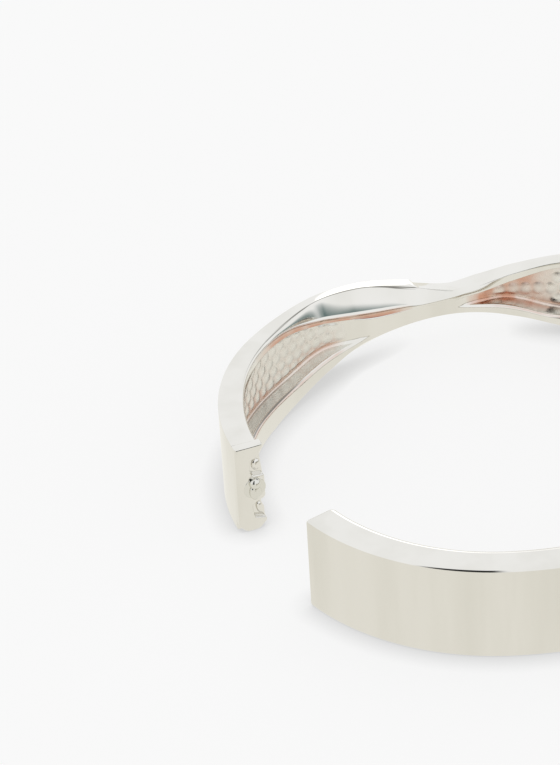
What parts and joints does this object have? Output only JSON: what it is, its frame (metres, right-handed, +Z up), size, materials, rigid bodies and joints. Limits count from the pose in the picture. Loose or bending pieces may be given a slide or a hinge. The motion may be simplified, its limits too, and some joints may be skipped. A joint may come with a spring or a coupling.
{
  "type": "bangle bracelet",
  "caption": "Hinged oval bangle with a crossover crystal-set front half, a plain polished back half and a snap clasp, lying open.",
  "frame": {"origin": "foot of the hinge axis, on the plane the bangle lies on", "axes": "+Z up along the hinge axis; -X from the hinge towards the shut clasp, along the oval's long axis; +Y towards the front half"},
  "size_m": [0.066, 0.0643, 0.0112],
  "materials": {
    "polished_plate": "mirror polished, warm white plating",
    "back_plate": "mirror polished, faintly rippled",
    "stud_metal": "polished",
    "pin_steel": "drawn wire",
    "socket_metal": "satin",
    "crystal": "cut and foiled"
  },
  "bodies": {
    "front_half": {"front_casting": "polished_plate", "clasp_plate": "polished_plate", "snap_stud": "stud_metal", "front_knuckle": "polished_plate", "clasp_leaf_row_1": "crystal", "clasp_leaf_row_2": "crystal", "clasp_leaf_row_3": "crystal", "clasp_leaf_row_4": "crystal", "clasp_leaf_row_5": "crystal", "hinge_leaf_row_1": "crystal", "hinge_leaf_row_2": "crystal", "hinge_leaf_row_3": "crystal", "hinge_leaf_row_4": "crystal", "hinge_leaf_row_5": "crystal"},
    "back_half": {"back_band": "back_plate", "catch_socket": "socket_metal", "upper_knuckle": "back_plate", "lower_knuckle": "back_plate", "hinge_pin": "pin_steel"}
  },
  "joints": [
    {"name": "hinge", "type": "hinge", "parent": "front_half", "child": "back_half", "pos_m": [0, 0, 0], "axis": [0, 0, 1], "range_deg": [-13.8, 46.2]}
  ]
}
